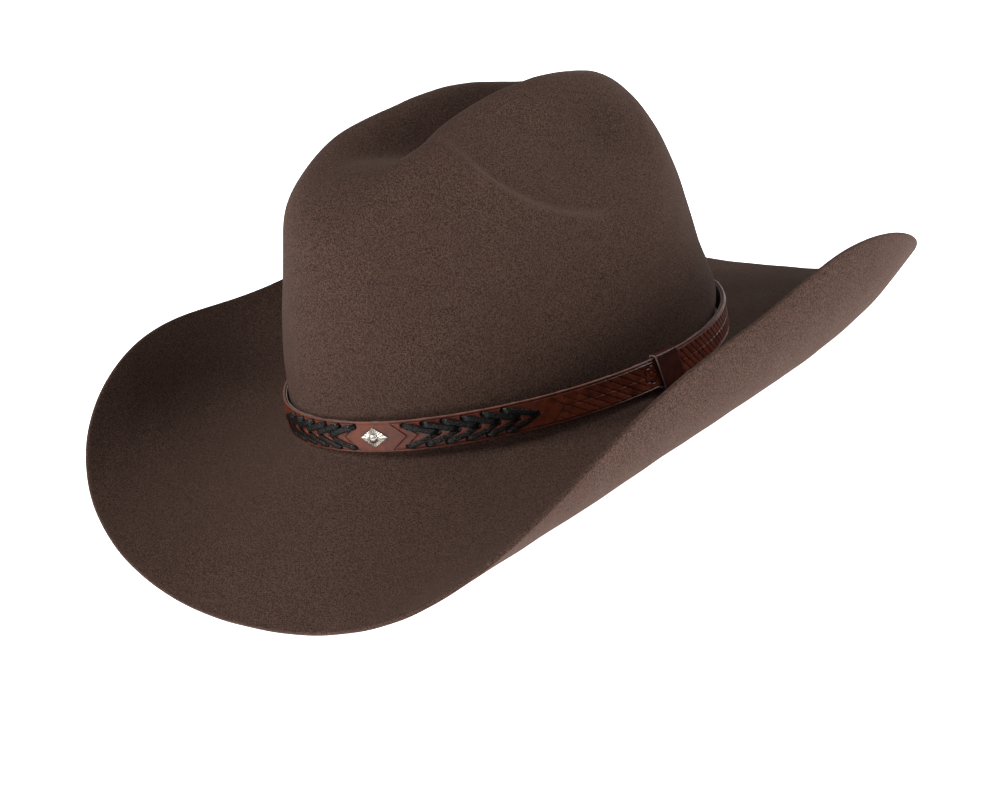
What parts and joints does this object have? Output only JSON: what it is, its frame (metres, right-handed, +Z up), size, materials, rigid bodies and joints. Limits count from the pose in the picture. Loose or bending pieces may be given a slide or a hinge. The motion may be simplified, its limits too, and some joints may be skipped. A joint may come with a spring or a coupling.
{
  "type": "cowboy hat",
  "caption": "Felt cowboy hat with creased crown, rolled brim, sweatband, satin lining and a laced leather hatband with a stud and keeper.",
  "frame": {"origin": "centre of the head opening, at the height where the crown meets the brim", "axes": "+Z up through the crown, -Y towards the wearer's front, +X towards the wearer's left"},
  "size_m": [0.3127, 0.3673, 0.181],
  "materials": {
    "felt": "matte wool felt, short nap",
    "sweatband_leather": "smooth lining leather",
    "reed": "semi-clear plastic cord",
    "tape": "woven cotton tape",
    "thread": "twisted cotton thread",
    "ribbon": "satin ribbon",
    "satin": "satin, soft sheen",
    "backing_leather": "split leather, raw edge",
    "strap_leather": "red-brown bridle leather, tooled, waxed",
    "lace_leather": "black pebbled lace, semi-gloss",
    "stud_metal": "antiqued silver"
  },
  "bodies": {
    "hat": {"felt_body": "felt", "sweatband": "sweatband_leather", "sweatband_reed": "reed", "reed_tape": "tape", "sweatband_stitches": "thread", "sweatband_bow": "ribbon", "lining_side": "satin", "lining_tip": "satin"},
    "hatband": {"band_backing": "backing_leather", "band_strap": "strap_leather", "lace_left": "lace_leather", "lace_right": "lace_leather", "diamond_stud": "stud_metal"},
    "keeper": {"band_keeper": "strap_leather"}
  },
  "joints": [
    {"name": "band_lift", "type": "slide", "parent": "hat", "child": "hatband", "axis": [0, 0, 1], "range_m": [0, 0.14]},
    {"name": "keeper_slide", "type": "hinge", "parent": "hatband", "child": "keeper", "pos_m": [-0.02704, 0.0016, 0.00985], "axis": [0, 0, 1], "range_deg": [-6, 6]}
  ]
}
